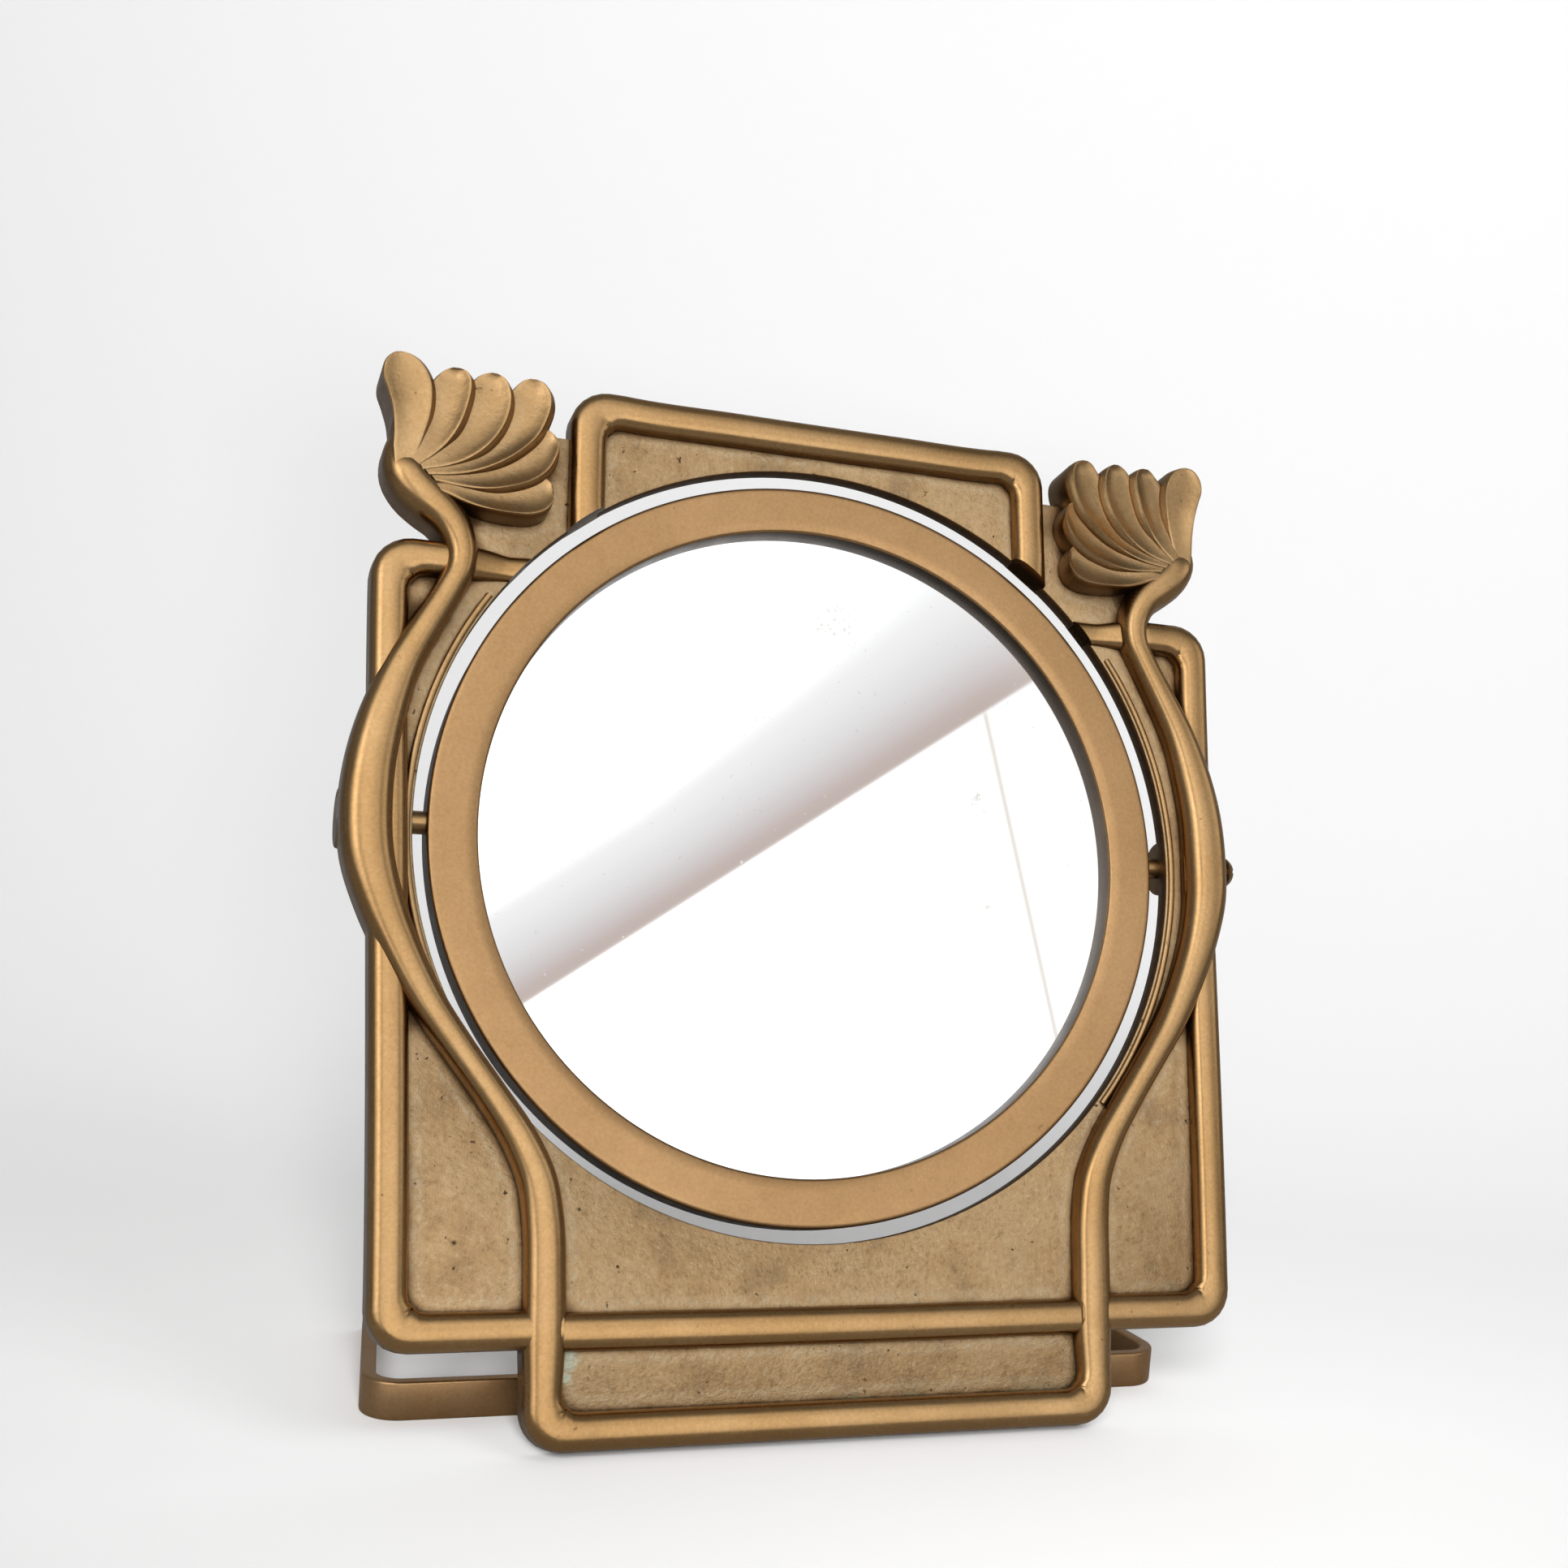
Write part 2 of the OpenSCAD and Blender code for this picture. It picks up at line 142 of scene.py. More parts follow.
def smooth_line(points, step):
    """Points along a smooth curve through the given ones, about step mm apart."""
    pts = [Vector(p) for p in points]
    t = [0.0]
    for a, b in zip(pts, pts[1:]):
        t.append(t[-1] + max((b.xy - a.xy).length, 1e-6))
    last = len(pts) - 1
    slopes = []
    for i in range(last + 1):
        if i == 0:
            slopes.append((pts[1] - pts[0]) / (t[1] - t[0]))
        elif i == last:
            slopes.append((pts[i] - pts[i - 1]) / (t[i] - t[i - 1]))
        else:
            before, after = t[i] - t[i - 1], t[i + 1] - t[i]
            d0, d1 = (pts[i] - pts[i - 1]) / before, (pts[i + 1] - pts[i]) / after
            slopes.append((d0 * after + d1 * before) / (before + after))
    out = []
    for i in range(last):
        h = t[i + 1] - t[i]
        n = max(1, round(h / step))
        for k in range(n):
            u = k / n
            a = (1 + 2 * u) * (1 - u) ** 2
            b = u * (1 - u) ** 2
            c = u * u * (3 - 2 * u)
            d = u * u * (u - 1)
            out.append(pts[i] * a + slopes[i] * (h * b) + pts[i + 1] * c + slopes[i + 1] * (h * d))
    out.append(pts[last])
    return out


def even_row(points, count, ease=1.0):
    """count points along a line, closer together near its end where ease is above 1."""
    line = smooth_line(points, 0.4)
    t = [0.0]
    for a, b in zip(line, line[1:]):
        t.append(t[-1] + (b - a).length)
    out, k = [], 0
    for i in range(count):
        want = (1 - (1 - i / (count - 1)) ** ease) * t[-1]
        while k < len(t) - 2 and t[k + 1] < want:
            k += 1
        u = (want - t[k]) / max(t[k + 1] - t[k], 1e-9)
        out.append(line[k].lerp(line[k + 1], min(max(u, 0), 1)))
    return out


# Shells and finished pieces.
class Shell:
    """One closed shell, which is added to a piece when it is done."""

    def __init__(self, rough):
        """rough is how much of the shell is rough cast skin, from 0 to 1."""
        self.bm = bmesh.new()
        self.rough = rough

    def loft(self, rings):
        """Skins a row of closed rings of points, with flat ends."""
        bm = self.bm
        loops = []
        for ring in rings:
            vs = [bm.verts.new(p) for p in ring]
            loops.append([bm.edges.new((vs[i - 1], vs[i])) for i in range(len(vs))])
        for a, b in zip(loops, loops[1:]):
            bmesh.ops.bridge_loops(bm, edges=a + b)
        bmesh.ops.contextual_create(bm, geom=loops[0])
        bmesh.ops.contextual_create(bm, geom=loops[-1])
        return self


class Piece:
    """Shells that make one cast piece."""

    def __init__(self):
        self.bm = bmesh.new()
        self.bm.verts.layers.float.new("rough_cast")

    def add(self, shell):
        bm = shell.bm
        bmesh.ops.recalc_face_normals(bm, faces=bm.faces)
        layer = bm.verts.layers.float.new("rough_cast")
        for v in bm.verts:
            v[layer] = shell.rough
        mesh = bpy.data.meshes.new("shell")
        bm.to_mesh(mesh)
        bm.free()
        self.bm.from_mesh(mesh)
        bpy.data.meshes.remove(mesh)


def finish_piece(name, bm, body, material, place=PLATE, sharp=38, stands_for=()):
    """Puts a drawn piece in its place, shades it and ties it to its body."""
    bmesh.ops.transform(bm, matrix=place, verts=bm.verts)
    mesh = bpy.data.meshes.new(name)
    bm.to_mesh(mesh)
    bm.free()
    mesh.polygons.foreach_set("use_smooth", [True] * len(mesh.polygons))
    mesh.set_sharp_from_angle(angle=math.radians(sharp))
    mesh.materials.append(material)
    obj = bpy.data.objects.new(name, mesh)
    bpy.context.scene.collection.objects.link(obj)
    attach(obj, body)
    if stands_for:
        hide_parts(*stands_for)
    return obj


# The casting: ribs, stems, plate, bosses, petals and lips.
def rib_ring(at, side, half, inner, height, low, power=2.8, steps=14):
    """A rib's section: a wall on each side and a round back over them. The side
    inside a bend may be wider, which rounds the panel's corner."""
    wide = (half - inner, half) if inner < 0 else (half, half + inner)
    ring = []
    for i in range(steps + 1):
        a = math.pi * i / steps
        reach = wide[0] if a < math.pi / 2 else wide[1]
        across = -math.copysign(abs(math.cos(a)) ** (2 / power), math.cos(a)) * reach
        ring.append((at.x + side.x * across, at.y + side.y * across,
                     math.sin(a) ** (2 / power) * height))
    ring.append((at.x + side.x * wide[1], at.y + side.y * wide[1], low))
    ring.append((at.x - side.x * wide[0], at.y - side.y * wide[0], low))
    return ring


def rib(line, half, height, low=SET_IN_Z, step=1.6, steps=14, rough=0.0, hole=(0, 0)):
    """A rib along a line of points: x and y, and where they differ from the rest
    also the half width, the height and what is added inside a bend."""
    usual = (half, height, 0.0)
    pts = [tuple(p) + usual[len(p) - 2:] for p in line]
    curve = smooth_line([Vector(p) for p in pts], step)
    least, most = min(p[4] for p in pts), max(p[4] for p in pts)
    rings = []
    for i, p in enumerate(curve):
        a, b = curve[max(i - 1, 0)], curve[min(i + 1, len(curve) - 1)]
        d = (b.xy - a.xy).normalized()
        rings.append(rib_ring(p.xy, Vector((-d.y, d.x)), p[2],
                              min(max(p[4], least), most), p[3], low, steps=steps))
    return Shell(rough).loft(meet_hole(rings, *hole))


# The right stem from its tip in the flower down to the foot: x, y, half width
# and height.
STEM_HALF = [
    (95.6, 83.4, 2.4, 2.6), (95.5, 80.3, 3.5, 4.9), (94.6, 76.6, 4.5, 6.5),
    (92.2, 72.9, 4.9, 6.8), (88.9, 69.9, 4.8, 6.7), (85.4, 66.9, 4.3, 6.4),
    (82.8, 63.2, 3.95, 6.1), (81.5, 59.0, 3.6, 5.8), (81.8, 54.8, 3.4, 5.6),
    (83.8, 50.2, 3.35, 5.5), (88.0, 42.0, 3.6, 5.6), (92.8, 32.0, 4.1, 5.8),
    (96.2, 21.0, 4.9, 6.1), (98.0, 11.0, 5.3, 6.3), (98.5, 2.0, 5.5, 6.3),
    (98.0, -8.0, 5.4, 6.2), (95.5, -18.0, 4.8, 6.0), (91.3, -28.5, 4.2, 5.7),
    (86.0, -38.8, 3.75, 5.5), (79.5, -48.5, 3.45, 5.4), (72.8, -58.0, 3.45, 5.4),
    (66.9, -67.2, 3.8, 5.3), (63.4, -75.4, 4.15, 5.1), (62.1, -84.0, 4.35, 4.8),
    (61.7, -95.0, 4.4, 4.6), (61.5, -108.0, 4.4, 4.5),
]
FOOT_CORNER = bend(57.1, -120.8, 4.4, 0, -90, 3.95, 4.3, -1.5)


def stem_line():
    """Both stems, joined by the foot's lower bar."""
    half = STEM_HALF + FOOT_CORNER
    half += [(52.0, -125.2, 3.95, 4.2), (20.0, -125.2, 3.95, 4.2)]
    return half + flip(half)


def side_line():
    """The right side rib, from the hole round the side to the crossbar."""
    top = bend(*SHOULDER_CENTRE, 4.6, 90, -1, 4.0, 4.0, -1.5)
    low = bend(*LOW_CORNER_CENTRE, 4.7, -1, -90, 4.0, 4.0, -1.5)
    return (
        [(67.8, 56.6, 2.7, 1.6), (72.0, 56.7, 2.8, 1.8), (77.0, 57.0, 3.5, 2.6)]
        + run((81.0, 57.0), top[0]) + top
        + run(top[-1], low[0]) + low + run(low[-1], (66.0, -105.0)) + [(58.0, -105.0)]
    )


def bracket_line():
    """The rib round the raised bracket over the hole."""
    corner = bend(49.7, 92.6, 4.6, 0, 90, 4.1, 3.9, 1.6)
    half = [(54.3, 69.5), (54.3, 73.0), (54.3, 88.5)] + corner + [(45.0, 97.1), (20.0, 96.95)]
    return half + flip(half)


def meet_hole(rings, first, last):
    """Ends a rib flush with the wall of the hole."""
    flush_r, clear_r, near = HOLE_R + 0.02, HOLE_R + 0.3, 8

    def reach(ring, toward):
        d = (Vector(toward[0][:2]) - Vector(ring[0][:2])).normalized()
        out = []
        for x, y, z in ring:
            p = Vector((x, y))
            b = p.dot(d)
            c = p.length_squared - flush_r ** 2
            p = p + d * (-b + math.sqrt(max(b * b - c, 0)))
            out.append((p.x, p.y, z))
        return out

    def clear(ring):
        return min(math.hypot(x, y) for x, y, z in ring) > clear_r

    if first:
        kept = [r for r in rings[:near] if clear(r)] + rings[near:]
        rings = [reach(kept[0], kept[1])] + kept
    if last:
        kept = rings[:-near] + [r for r in rings[-near:] if clear(r)]
        rings = kept + [reach(kept[-1], kept[-2])]
    return rings


def plate_outline():
    """The plate's outer edge, just inside the ribs' outer edges."""
    half = [(0.0, 100.9)] + list(reversed(arc(49.9, 92.7, 8.1, 0, 90, 8)))
    half += [(58.0, 89.6), (66.0, 89.6), (88.0, 77.0), (81.6, 64.5), (82.3, 61.5)]
    half += [(84.5, 60.7)] + list(reversed(arc(*SHOULDER_CENTRE, 8.3, -1, 90, 8)))
    half += list(reversed(arc(*LOW_CORNER_CENTRE, 8.4, -90, -1, 8)))
    half += [(65.6, -108.7)] + list(reversed(arc(57.2, -120.8, 8.3, -90, 0, 8)))
    return skewed(half + flip(half), side_skew)


def plate_shell():
    """The flat plate with its round hole and softened edges."""
    shell = Shell(1.0)
    bm = shell.bm

    def loop(points):
        vs = [bm.verts.new((p[0], p[1], 0)) for p in points]
        return [bm.edges.new((vs[i - 1], vs[i])) for i in range(len(vs))]

    hole = arc(0, 0, HOLE_R, 0, 360, 192)[:-1]
    outline = []
    for p in plate_outline():
        if not outline or (Vector(p) - Vector(outline[-1])).length > 0.05:
            outline.append(p)
    if (Vector(outline[0]) - Vector(outline[-1])).length < 0.05:
        outline.pop()
    edges = loop(outline) + loop(hole)
    bmesh.ops.triangle_fill(bm, use_beauty=True, use_dissolve=False, edges=edges)
    top = bmesh.ops.extrude_face_region(bm, geom=bm.faces[:])
    moved = [v for v in top["geom"] if isinstance(v, bmesh.types.BMVert)]
    bmesh.ops.translate(bm, verts=moved, vec=(0, 0, -PLATE_T))
    bmesh.ops.recalc_face_normals(bm, faces=bm.faces)
    rim = [
        e for e in bm.edges
        if abs(e.verts[0].co.z - e.verts[1].co.z) < 0.01
        and e.calc_face_angle(0) > 1
    ]
    bmesh.ops.bevel(bm, geom=rim, offset=0.45, offset_type="OFFSET", segments=2,
                    profile=0.5, affect="EDGES", material=-1)
    return shell


def boss_shell(sign):
    """The round boss behind a stem, which carries a pivot screw."""
    shell = Shell(0.5)
    bm = shell.bm
    bmesh.ops.create_cone(bm, cap_ends=True, segments=48, radius1=BOSS_R, radius2=BOSS_R,
                          depth=BOSS_LENGTH)
    ends = [e for e in bm.edges if abs(e.verts[0].co.z - e.verts[1].co.z) < 0.01]
    bmesh.ops.bevel(bm, geom=ends, offset=0.7, segments=3, profile=0.5,
                    affect="EDGES", material=-1)
    place = Matrix.Translation((sign * BOSS_MIDDLE_X, 0, PIVOT_Z))
    turn = Matrix.Rotation(math.radians(90), 4, "Y")
    bmesh.ops.transform(bm, matrix=place @ turn, verts=bm.verts)
    cut = bmesh.ops.bisect_plane(bm, geom=bm.verts[:] + bm.edges[:] + bm.faces[:],
                                 plane_co=(0, 0, -0.1), plane_no=(0, 0, 1), clear_outer=True)
    rim = [e for e in cut["geom_cut"] if isinstance(e, bmesh.types.BMEdge)]
    bmesh.ops.contextual_create(bm, geom=rim)
    return shell


# Each petal: its raised edge and its tucked edge, from the heart to the tip,
# then the heights of the two edges at the heart, along the middle and at the tip.
PETALS = [
    (
        [(92.4, 76.2), (91.5, 80.5), (90.5, 84.5), (89.8, 88.4), (89.6, 92.3),
         (90.0, 95.5), (91.2, 98.2), (93.0, 100.3), (94.8, 101.2), (96.2, 101.5)],
        [(96.9, 75.4), (97.3, 79.5), (97.4, 83.5), (98.0, 88.3), (99.2, 92.3),
         (100.3, 95.6), (100.1, 98.4), (99.0, 100.3), (97.8, 101.2), (96.7, 101.5)],
        (6.3, 7.9, 7.7), (6.2, 7.8, 7.7), 0.8, 1.0,
    ),
    (
        [(91.5, 76.0), (88.2, 79.1), (85.3, 82.8), (83.2, 87.0), (82.0, 91.2),
         (81.4, 95.0), (81.6, 97.5), (82.6, 99.1), (84.3, 99.7)],
        [(93.4, 77.6), (92.1, 82.0), (91.2, 86.0), (90.8, 90.0), (90.4, 94.0),
         (89.4, 96.6), (88.1, 98.3), (86.7, 99.4), (85.2, 99.75)],
        (6.6, 8.0, 7.5), (6.4, 6.0, 7.3), 0.5, 1.2,
    ),
    (
        [(90.8, 75.0), (86.5, 76.2), (82.2, 78.2), (78.3, 81.2), (75.2, 85.2),
         (73.4, 89.3), (72.7, 93.3), (73.1, 96.5), (74.2, 98.7), (76.0, 99.75)],
        [(91.7, 76.8), (88.8, 79.6), (86.0, 83.4), (84.0, 87.6), (82.9, 91.5),
         (82.1, 95.0), (81.1, 97.4), (79.7, 99.0), (78.2, 99.7), (76.9, 99.85)],
        (6.6, 7.9, 7.4), (6.4, 6.0, 7.2), 0.5, 1.2,
    ),
    (
        [(89.5, 74.0), (85.0, 74.6), (80.0, 76.0), (74.8, 78.6), (70.2, 82.0),
         (66.7, 85.9), (64.8, 90.0), (63.9, 94.0), (64.3, 97.1), (65.6, 99.0),
         (67.6, 99.7)],
        [(90.6, 75.6), (87.0, 77.0), (82.8, 79.0), (79.1, 81.9), (76.1, 85.8),
         (74.3, 89.6), (73.8, 93.3), (73.0, 95.8), (71.5, 97.9), (70.0, 99.3),
         (68.5, 99.75)],
        (6.6, 7.9, 7.4), (6.4, 6.0, 7.2), 0.5, 1.2,
    ),
    (
        [(88.0, 72.8), (85.5, 72.5), (81.0, 72.2), (76.5, 72.4), (71.5, 73.6),
         (67.3, 75.5), (64.3, 78.1), (62.6, 81.3), (61.9, 84.4), (62.5, 86.6)],
        [(89.4, 74.6), (85.4, 75.2), (80.6, 76.7), (75.5, 79.4), (71.0, 82.7),
         (67.8, 86.2), (66.3, 88.2), (65.0, 88.6), (63.9, 88.2), (62.9, 87.2)],
        (6.5, 7.7, 7.2), (6.3, 5.8, 7.0), 0.5, 1.0,
    ),
    (
        [(86.8, 70.6), (85.0, 70.0), (82.0, 68.9), (78.5, 68.0), (75.0, 67.5),
         (71.0, 67.3), (67.0, 67.7), (64.2, 69.1), (62.8, 71.4), (62.6, 73.4)],
        [(88.2, 72.8), (85.4, 73.3), (81.2, 73.0), (76.8, 73.3), (72.0, 74.6),
         (68.2, 76.5), (66.0, 77.7), (64.6, 77.3), (63.5, 76.2), (62.9, 74.8)],
        (6.5, 7.6, 7.2), (6.3, 5.9, 7.0), 0.5, 0.4,
    ),
]
# Where a petal's section has its points, from the tucked edge to the raised one.
ACROSS = (0.0, 0.03, 0.08, 0.15, 0.24, 0.34, 0.45, 0.56, 0.66, 0.75, 0.82,
          0.88, 0.92, 0.955, 0.98, 1.0)


def edge_distance(p, outline):
    """How far a point is from a petal's outline."""
    best = 1e9
    for a, b in zip(outline, outline[1:]):
        d = b - a
        u = min(max((p - a).dot(d) / max(d.length_squared, 1e-9), 0), 1)
        best = min(best, (p - a - d * u).length)
    return best


def ease(u):
    """A soft step from 0 to 1."""
    u = min(max(u, 0.0), 1.0)
    return u * u * (3 - 2 * u)


def along(values, u):
    """A height along a petal, from its values at the heart, middle and tip."""
    heart, middle, tip = values
    return heart + (middle - heart) * ease(u / 0.4) + (tip - middle) * ease((u - 0.7) / 0.3)


def petal_shell(petal, sign):
    """A petal: a shallow spoon, tucked under the one before, with a raised rim
    on its far side and a sloped step down from that rim."""
    raised, tucked, high, low, dish, step = petal
    count, rim_soft, rim_drop, highest_step = 38, 0.7, 0.55, 8.0
    far = even_row(raised, count, 1.5)
    near = even_row(tucked, count, 1.5)
    outline = [p.xy for p in far] + [p.xy for p in reversed(near)]
    rings = []
    for i in range(count):
        u = i / (count - 1)
        a, b = near[i].xy, far[i].xy
        if (b - a).length < 0.05:
            continue
        za, zb = along(low, u), along(high, u)
        cup = dish * ease(u / 0.35) * (1 - 0.75 * ease((u - 0.75) / 0.25))
        ring = []
        for v in ACROSS:
            p = a.lerp(b, v)
            z = za + (zb - za) * (0.35 * v + 0.65 * v ** 3)
            z -= cup * math.sin(math.pi * v) ** 0.7
            d = edge_distance(p, outline)
            if d < rim_soft:
                z -= rim_drop * (1 - math.sqrt(max(1 - (1 - d / rim_soft) ** 2, 0)))
            ring.append((sign * p.x, p.y, z))
        out = (b - a).normalized() * step * ease(u / 0.3) * (1 - ease((u - 0.7) / 0.3))
        for reach, drop in ((0.30, 0.9), (0.75, 1.7), (1.0, 2.7)):
            p = b + out * reach
            ring.append((sign * p.x, p.y, min(zb, highest_step) - drop))
        p = b + out
        ring.append((sign * p.x, p.y, SET_IN_Z))
        ring.append((sign * a.x, a.y, SET_IN_Z))
        rings.append(ring)
    return Shell(0.35).loft(rings)


def lip_shell(a0, a1):
    """The thin raised lip of the plate along the hole, beside a stem."""
    line = arc(0, 0, HOLE_R + LIP_FROM_HOLE, a0, a1, 30)
    return rib(line, LIP_HALF_W, LIP_HEIGHT, low=-0.5, step=2.5, steps=6, rough=0.3)


def cast_frame(material):
    """The whole casting as one piece."""
    piece = Piece()
    piece.add(plate_shell())
    piece.add(rib(skewed(stem_line(), stem_skew), 0, 0, step=1.3, steps=18))
    piece.add(rib(skewed(side_line(), side_skew), 4.0, 4.0, hole=(1, 0)))
    piece.add(rib(skewed(flip(side_line()), side_skew), 4.0, 4.0, hole=(0, 1)))
    piece.add(rib(bracket_line(), 4.1, 3.9, hole=(1, 1)))
    crossbar = [(-60, -105.7), (-20, -105.9), (20, -105.9), (60, -105.7)]
    piece.add(rib(skewed(crossbar, side_skew), 3.9, 3.6, low=-2))
    for sign in (1, -1):
        piece.add(boss_shell(sign))
        for petal in PETALS:
            piece.add(petal_shell(petal, sign))
    piece.add(lip_shell(-40, 34))
    piece.add(lip_shell(146, 220))
    return finish_piece("frame_casting_relief", piece.bm, "frame", material,
                        stands_for=["frame_casting"])


# The mirror's ring and the strap.
def turned(profile, steps=192):
    """A closed profile of (radius, z) points, turned about the plate's normal."""
    bm = bmesh.new()
    vs = [bm.verts.new((r, 0, z)) for r, z in profile]
    es = [bm.edges.new((vs[i - 1], vs[i])) for i in range(len(vs))]
    bmesh.ops.spin(bm, geom=vs + es, cent=(0, 0, 0), axis=(0, 0, 1), dvec=(0, 0, 0),
                   angle=math.tau, steps=steps, use_merge=True, use_normal_flip=False,
                   use_duplicate=False)
    bmesh.ops.recalc_face_normals(bm, faces=bm.faces)
    return bm


def bezel(material):
    """The ring round the glass: a flat band with rounded edges and a step behind
    it, which holds the glass."""
    profile = (
        [(75.0, GLASS_Z), (75.0, -3.2), (75.06, -2.85), (75.25, -2.6), (75.6, -2.42)]
        + [(78.0, -2.3), (82.0, -2.12), (84.6, -2.02)]
        + [(85.1, -2.02), (85.5, -2.2), (85.74, -2.5), (85.8, -2.9)]
        + [(85.8, -9.6), (85.4, -10.0), (81.3, -10.0), (81.3, GLASS_Z)]
    )
    return finish_piece("bezel_face", turned(profile), "mirror", material,
                        stands_for=["bezel_ring"])


def strap(material):
    """The base strap: a bent bar with softened edges, its arms turned in by toe
    degrees. t and h are its thickness and height, r its corners' radius."""
    half_w, depth, shift, behind = 92.5, 62.0, 1.8, 21.5
    t, h, r, toe = 3.0, 8.2, 8.0, 6.0
    y0 = ORIGIN_Y + behind
    mid = arc(half_w - r, y0 + r, r - t / 2, 270, 360 + toe, 14)
    a = math.radians(toe)
    reach = (depth - r * (1 + math.sin(a))) / math.cos(a)
    end = (mid[-1][0] - math.sin(a) * reach, mid[-1][1] + math.cos(a) * reach)
    right = mid + [end]
    left = flip(right)
    line = [Vector((p[0] + shift, p[1])) for p in left + right]
    soft = 0.55
    section = []
    for cx, cz, a0 in ((t / 2 - soft, soft, -90), (t / 2 - soft, h - soft, 0),
                       (-t / 2 + soft, h - soft, 90), (-t / 2 + soft, soft, 180)):
        section += arc(cx, cz, soft, a0, a0 + 90, 3)
    rings = []
    for i, p in enumerate(line):
        d0 = (p - line[i - 1]).normalized() if i else (line[1] - p).normalized()
        d1 = (line[i + 1] - p).normalized() if i < len(line) - 1 else d0
        d = (d0 + d1).normalized()
        rings.append([(p.x - d.y * s, p.y + d.x * s, z) for s, z in section])
    shell = Shell(0).loft(rings)
    bmesh.ops.recalc_face_normals(shell.bm, faces=shell.bm.faces)
    return finish_piece("base_strap_bar", shell.bm, "frame", material,
                        place=WORLD_MM, stands_for=["base_strap"])


# Materials.
class Net:
    """Adds and joins nodes."""

    def __init__(self, tree):
        self.tree = tree

    def add(self, kind, values=None, **props):
        """A new node, with its settings and what goes into its inputs."""
        node = self.tree.nodes.new(kind)
        for key, value in props.items():
            setattr(node, key, value)
        for key, value in (values or {}).items():
            self.feed(node.inputs[key], value)
        return node

    def feed(self, socket, value):
        """Joins an output to an input, or sets the input's own value."""
        if isinstance(value, bpy.types.NodeSocket):
            self.tree.links.new(value, socket)
        else:
            socket.default_value = value

    def math(self, operation, a, b=0.0, clamp=False):
        return self.add("ShaderNodeMath", {0: a, 1: b}, operation=operation,
                        use_clamp=clamp).outputs[0]

    def span(self, value, low, high, to_low=0.0, to_high=1.0, kind="SMOOTHSTEP"):
        """Maps a value's range from low to high onto another range."""
        return self.add("ShaderNodeMapRange",
                        {"Value": value, "From Min": low, "From Max": high,
                         "To Min": to_low, "To Max": to_high},
                        interpolation_type=kind).outputs["Result"]

    def mix(self, factor, a, b, blend="MIX"):
        """Lays colour b over colour a."""
        node = self.add("ShaderNodeMix", data_type="RGBA", blend_type=blend)
        self.feed(node.inputs["Factor"], factor)
        self.feed(node.inputs[6], a)
        self.feed(node.inputs[7], b)
        return node.outputs[2]

    def noise(self, where, scale, detail=3.0, rough=0.55):
        return self.add("ShaderNodeTexNoise",
                        {"Vector": where, "Scale": scale, "Detail": detail,
                         "Roughness": rough}).outputs["Fac"]


def new_group(name, inputs, outputs):
    """An empty shader group with named inputs and outputs."""
    tree = bpy.data.node_groups.new(name, "ShaderNodeTree")
    for title, kind, start in inputs:
        socket = tree.interface.new_socket(name=title, in_out="INPUT", socket_type=kind)
        socket.default_value = start
    for title, kind in outputs:
        tree.interface.new_socket(name=title, in_out="OUTPUT", socket_type=kind)
    net = Net(tree)
    return tree, net, net.add("NodeGroupInput"), net.add("NodeGroupOutput")


